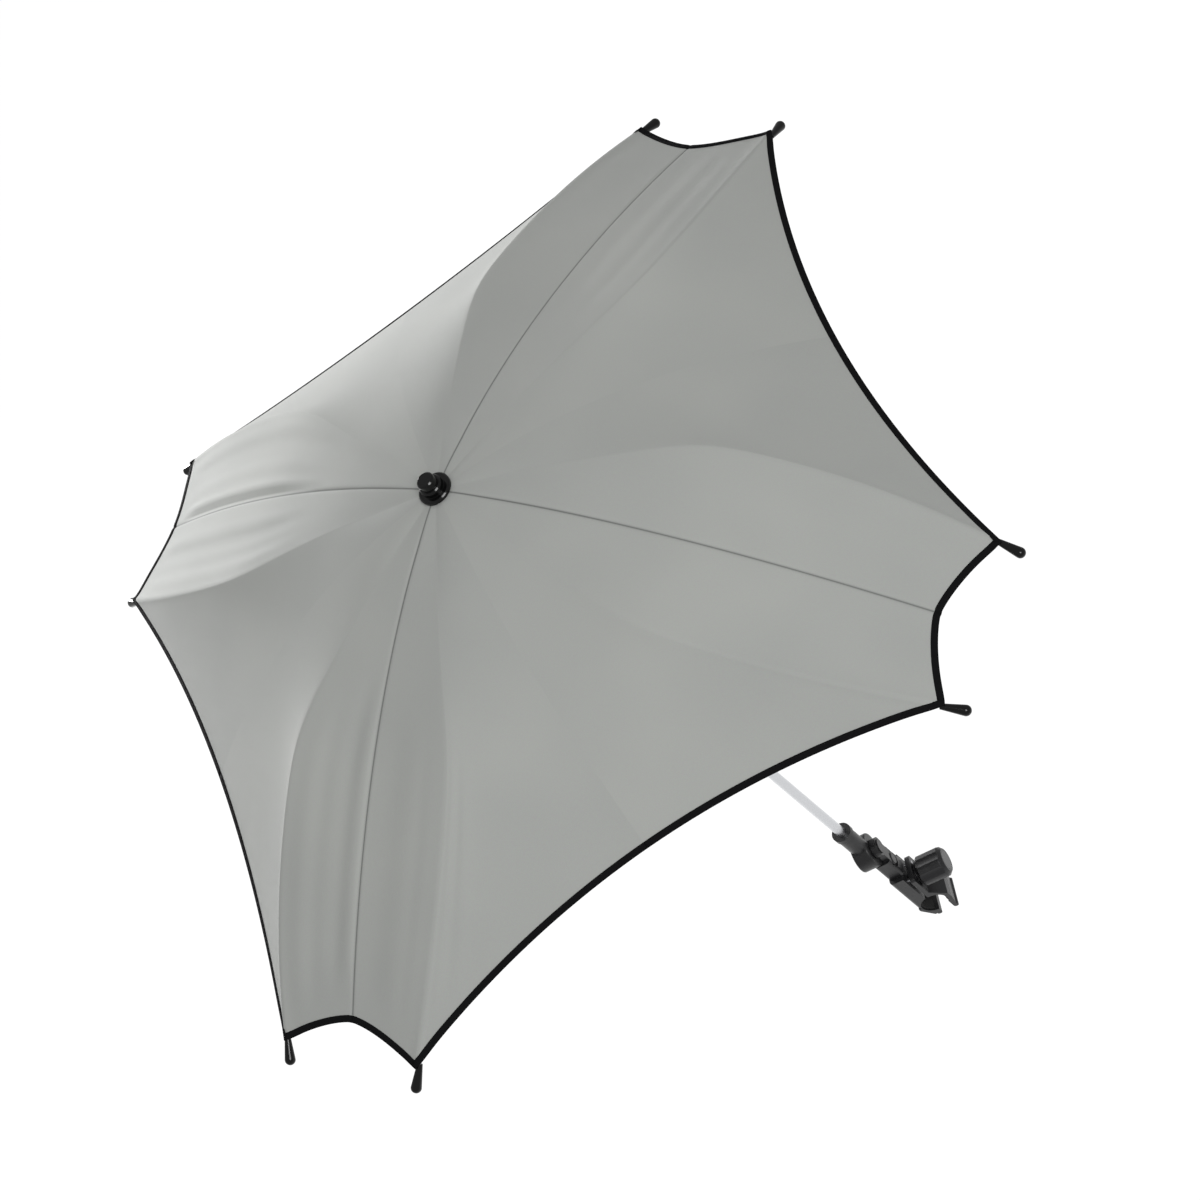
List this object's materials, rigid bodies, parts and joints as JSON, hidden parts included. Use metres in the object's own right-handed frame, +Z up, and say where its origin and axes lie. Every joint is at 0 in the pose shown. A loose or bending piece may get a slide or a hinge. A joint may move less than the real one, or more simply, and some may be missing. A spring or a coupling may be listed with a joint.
{
  "type": "pram parasol",
  "caption": "Folding square parasol: ribbed cloth canopy on a slim pole with a tilt socket, swivel link, push-button and screw clamp for a pram tube.",
  "frame": {"origin": "on the axis of the pram tube that the clamp holds, in the middle of the jaws' width", "axes": "+Z up the pole to the canopy, +X along the clamp screw to the knob, +Y along the pram tube"},
  "size_m": [0.6918, 0.6918, 0.7475],
  "materials": {
    "cover_cloth": "woven, matt",
    "binding_tape": "woven tape",
    "black_plastic": "moulded, satin",
    "gloss_black": "moulded, gloss",
    "pole_metal": "drawn tube",
    "rib_steel": "drawn wire",
    "fastener_steel": "plated",
    "pad_rubber": "matt"
  },
  "bodies": {
    "clamp": {"clamp_body": "black_plastic", "jaw_pad_fixed": "pad_rubber", "screw_nut": "fastener_steel"},
    "jaw": {"moving_jaw": "black_plastic", "jaw_pad_moving": "pad_rubber", "guide_pins": "fastener_steel"},
    "knob": {"clamp_knob": "black_plastic", "clamp_screw": "fastener_steel", "knob_cap": "gloss_black"},
    "link": {"link_block": "black_plastic", "swivel_stud": "fastener_steel", "tilt_bolt": "black_plastic", "tilt_nut": "fastener_steel", "return_bush": "pad_rubber"},
    "button": {"release_button": "black_plastic"},
    "mast": {"pole_socket": "black_plastic", "pole": "pole_metal", "top_notch": "black_plastic", "notch_pins": "fastener_steel", "ferrule_cap": "gloss_black", "hem_binding": "binding_tape", "cover_panel_1": "cover_cloth", "cover_panel_2": "cover_cloth", "cover_panel_3": "cover_cloth", "cover_panel_4": "cover_cloth"},
    "runner": {"runner": "black_plastic", "runner_pins": "fastener_steel"},
    "rib_1": {"rib_1": "rib_steel"},
    "stretcher_1": {"stretcher_1": "rib_steel"},
    "rod_1": {"rib_rod_1": "rib_steel", "rib_tip_1": "gloss_black"},
    "rib_2": {"rib_2": "rib_steel"},
    "stretcher_2": {"stretcher_2": "rib_steel"},
    "rod_2": {"rib_rod_2": "rib_steel", "rib_tip_2": "gloss_black"},
    "rib_3": {"rib_3": "rib_steel"},
    "stretcher_3": {"stretcher_3": "rib_steel"},
    "rod_3": {"rib_rod_3": "rib_steel", "rib_tip_3": "gloss_black"},
    "rib_4": {"rib_4": "rib_steel"},
    "stretcher_4": {"stretcher_4": "rib_steel"},
    "rod_4": {"rib_rod_4": "rib_steel", "rib_tip_4": "gloss_black"},
    "rib_5": {"rib_5": "rib_steel"},
    "stretcher_5": {"stretcher_5": "rib_steel"},
    "rod_5": {"rib_rod_5": "rib_steel", "rib_tip_5": "gloss_black"},
    "rib_6": {"rib_6": "rib_steel"},
    "stretcher_6": {"stretcher_6": "rib_steel"},
    "rod_6": {"rib_rod_6": "rib_steel", "rib_tip_6": "gloss_black"},
    "rib_7": {"rib_7": "rib_steel"},
    "stretcher_7": {"stretcher_7": "rib_steel"},
    "rod_7": {"rib_rod_7": "rib_steel", "rib_tip_7": "gloss_black"},
    "rib_8": {"rib_8": "rib_steel"},
    "stretcher_8": {"stretcher_8": "rib_steel"},
    "rod_8": {"rib_rod_8": "rib_steel", "rib_tip_8": "gloss_black"}
  },
  "joints": [
    {"name": "jaw_slide", "type": "slide", "parent": "clamp", "child": "jaw", "axis": [1, 0, 0], "range_m": [-0.002, 0.009]},
    {"name": "knob_turn", "type": "hinge", "parent": "jaw", "child": "knob", "pos_m": [0, 0, 0.031], "axis": [1, 0, 0], "range_deg": [-361, 1621]},
    {"name": "link_swivel", "type": "hinge", "parent": "clamp", "child": "link", "pos_m": [-0.00765, 0, 0.05], "axis": [0, 0, 1], "range_deg": [-180, 180]},
    {"name": "pole_tilt", "type": "hinge", "parent": "link", "child": "mast", "pos_m": [-0.0135, 0, 0.09], "axis": [1, 0, 0], "range_deg": [-90, 90]},
    {"name": "button_press", "type": "slide", "parent": "link", "child": "button", "axis": [-1, 0, 0], "range_m": [0, 0.002], "stiffness_N_per_m": 1500, "springref_m": -0.001, "deforming": ["return_bush"]},
    {"name": "canopy_fold", "type": "hinge", "parent": "mast", "child": "rib_1", "pos_m": [-0.01121, 0.00973, 0.708], "axis": [-0.9734, 0.2292, 0], "range_deg": [0, 69.4], "deforming": ["cover_panel_1", "cover_panel_2", "cover_panel_3", "cover_panel_4", "hem_binding"]},
    {"name": "stretcher_fold_1", "type": "hinge", "parent": "rib_1", "child": "stretcher_1", "pos_m": [0.02776, 0.17521, 0.67], "axis": [-0.9734, 0.2292, 0], "range_deg": [-138.85, 0.05]},
    {"name": "rod_flex_1", "type": "hinge", "parent": "rib_1", "child": "rod_1", "pos_m": [0.03005, 0.18494, 0.6751], "axis": [0.1075, 0.4566, 0.8832], "range_deg": [-0.05, 21.31]},
    {"name": "rib_fold_2", "type": "hinge", "parent": "mast", "child": "rib_2", "pos_m": [-0.00528, 0.0057, 0.708], "axis": [-0.57, 0.8216, 0], "range_deg": [-0.05, 69.45]},
    {"name": "stretcher_fold_2", "type": "hinge", "parent": "rib_2", "child": "stretcher_2", "pos_m": [0.1344, 0.1026, 0.67], "axis": [-0.57, 0.8216, 0], "range_deg": [-138.85, 0.05]},
    {"name": "rod_flex_2", "type": "hinge", "parent": "rib_2", "child": "rod_2", "pos_m": [0.14261, 0.1083, 0.6751], "axis": [0.3854, 0.2674, 0.8832], "range_deg": [-21.31, 0.05]},
    {"name": "rib_fold_3", "type": "hinge", "parent": "mast", "child": "rib_3", "pos_m": [-0.00377, -0.00229, 0.708], "axis": [0.2292, 0.9734, 0], "range_deg": [-0.05, 69.45]},
    {"name": "stretcher_fold_3", "type": "hinge", "parent": "rib_3", "child": "stretcher_3", "pos_m": [0.16171, -0.04126, 0.67], "axis": [0.2292, 0.9734, 0], "range_deg": [-138.85, 0.05]},
    {"name": "rod_flex_3", "type": "hinge", "parent": "rib_3", "child": "rod_3", "pos_m": [0.17144, -0.04355, 0.6751], "axis": [0.4566, -0.1075, 0.8832], "range_deg": [-0.05, 21.31]},
    {"name": "rib_fold_4", "type": "hinge", "parent": "mast", "child": "rib_4", "pos_m": [-0.0078, -0.00822, 0.708], "axis": [0.8216, 0.57, 0], "range_deg": [-0.05, 69.45]},
    {"name": "stretcher_fold_4", "type": "hinge", "parent": "rib_4", "child": "stretcher_4", "pos_m": [0.0891, -0.1479, 0.67], "axis": [0.8216, 0.57, 0], "range_deg": [-138.85, 0.05]},
    {"name": "rod_flex_4", "type": "hinge", "parent": "rib_4", "child": "rod_4", "pos_m": [0.0948, -0.15611, 0.6751], "axis": [0.2674, -0.3854, 0.8832], "range_deg": [-21.31, 0.05]},
    {"name": "rib_fold_5", "type": "hinge", "parent": "mast", "child": "rib_5", "pos_m": [-0.01579, -0.00973, 0.708], "axis": [0.9734, -0.2292, 0], "range_deg": [-0.05, 69.45]},
    {"name": "stretcher_fold_5", "type": "hinge", "parent": "rib_5", "child": "stretcher_5", "pos_m": [-0.05476, -0.17521, 0.67], "axis": [0.9734, -0.2292, 0], "range_deg": [-138.85, 0.05]},
    {"name": "rod_flex_5", "type": "hinge", "parent": "rib_5", "child": "rod_5", "pos_m": [-0.05705, -0.18494, 0.6751], "axis": [-0.1075, -0.4566, 0.8832], "range_deg": [-0.05, 21.31]},
    {"name": "rib_fold_6", "type": "hinge", "parent": "mast", "child": "rib_6", "pos_m": [-0.02172, -0.0057, 0.708], "axis": [0.57, -0.8216, 0], "range_deg": [-0.05, 69.45]},
    {"name": "stretcher_fold_6", "type": "hinge", "parent": "rib_6", "child": "stretcher_6", "pos_m": [-0.1614, -0.1026, 0.67], "axis": [0.57, -0.8216, 0], "range_deg": [-138.85, 0.05]},
    {"name": "rod_flex_6", "type": "hinge", "parent": "rib_6", "child": "rod_6", "pos_m": [-0.16961, -0.1083, 0.6751], "axis": [-0.3854, -0.2674, 0.8832], "range_deg": [-21.31, 0.05]},
    {"name": "rib_fold_7", "type": "hinge", "parent": "mast", "child": "rib_7", "pos_m": [-0.02323, 0.00229, 0.708], "axis": [-0.2292, -0.9734, 0], "range_deg": [-0.05, 69.45]},
    {"name": "stretcher_fold_7", "type": "hinge", "parent": "rib_7", "child": "stretcher_7", "pos_m": [-0.18871, 0.04126, 0.67], "axis": [-0.2292, -0.9734, 0], "range_deg": [-138.85, 0.05]},
    {"name": "rod_flex_7", "type": "hinge", "parent": "rib_7", "child": "rod_7", "pos_m": [-0.19844, 0.04355, 0.6751], "axis": [-0.4566, 0.1075, 0.8832], "range_deg": [-0.05, 21.31]},
    {"name": "rib_fold_8", "type": "hinge", "parent": "mast", "child": "rib_8", "pos_m": [-0.0192, 0.00822, 0.708], "axis": [-0.8216, -0.57, 0], "range_deg": [-0.05, 69.45]},
    {"name": "stretcher_fold_8", "type": "hinge", "parent": "rib_8", "child": "stretcher_8", "pos_m": [-0.1161, 0.1479, 0.67], "axis": [-0.8216, -0.57, 0], "range_deg": [-138.85, 0.05]},
    {"name": "rod_flex_8", "type": "hinge", "parent": "rib_8", "child": "rod_8", "pos_m": [-0.1218, 0.15611, 0.6751], "axis": [-0.2674, 0.3854, 0.8832], "range_deg": [-21.31, 0.05]},
    {"name": "runner_level", "type": "hinge", "parent": "stretcher_1", "child": "runner", "pos_m": [-0.01121, 0.00973, 0.632], "axis": [-0.9734, 0.2292, 0], "range_deg": [-0.05, 69.45]}
  ],
  "couplings": [
    {"joint": "knob_turn", "follows": "jaw_slide", "rad_per_m": 3141.6},
    {"joint": "stretcher_fold_1", "follows": "canopy_fold", "ratio": -2},
    {"joint": "rod_flex_1", "follows": "canopy_fold", "ratio": 0.30631},
    {"joint": "rib_fold_2", "follows": "canopy_fold", "ratio": 1},
    {"joint": "stretcher_fold_2", "follows": "canopy_fold", "ratio": -2},
    {"joint": "rod_flex_2", "follows": "canopy_fold", "ratio": -0.30631},
    {"joint": "rib_fold_3", "follows": "canopy_fold", "ratio": 1},
    {"joint": "stretcher_fold_3", "follows": "canopy_fold", "ratio": -2},
    {"joint": "rod_flex_3", "follows": "canopy_fold", "ratio": 0.30631},
    {"joint": "rib_fold_4", "follows": "canopy_fold", "ratio": 1},
    {"joint": "stretcher_fold_4", "follows": "canopy_fold", "ratio": -2},
    {"joint": "rod_flex_4", "follows": "canopy_fold", "ratio": -0.30631},
    {"joint": "rib_fold_5", "follows": "canopy_fold", "ratio": 1},
    {"joint": "stretcher_fold_5", "follows": "canopy_fold", "ratio": -2},
    {"joint": "rod_flex_5", "follows": "canopy_fold", "ratio": 0.30631},
    {"joint": "rib_fold_6", "follows": "canopy_fold", "ratio": 1},
    {"joint": "stretcher_fold_6", "follows": "canopy_fold", "ratio": -2},
    {"joint": "rod_flex_6", "follows": "canopy_fold", "ratio": -0.30631},
    {"joint": "rib_fold_7", "follows": "canopy_fold", "ratio": 1},
    {"joint": "stretcher_fold_7", "follows": "canopy_fold", "ratio": -2},
    {"joint": "rod_flex_7", "follows": "canopy_fold", "ratio": 0.30631},
    {"joint": "rib_fold_8", "follows": "canopy_fold", "ratio": 1},
    {"joint": "stretcher_fold_8", "follows": "canopy_fold", "ratio": -2},
    {"joint": "rod_flex_8", "follows": "canopy_fold", "ratio": -0.30631},
    {"joint": "runner_level", "follows": "canopy_fold", "ratio": 1}
  ]
}
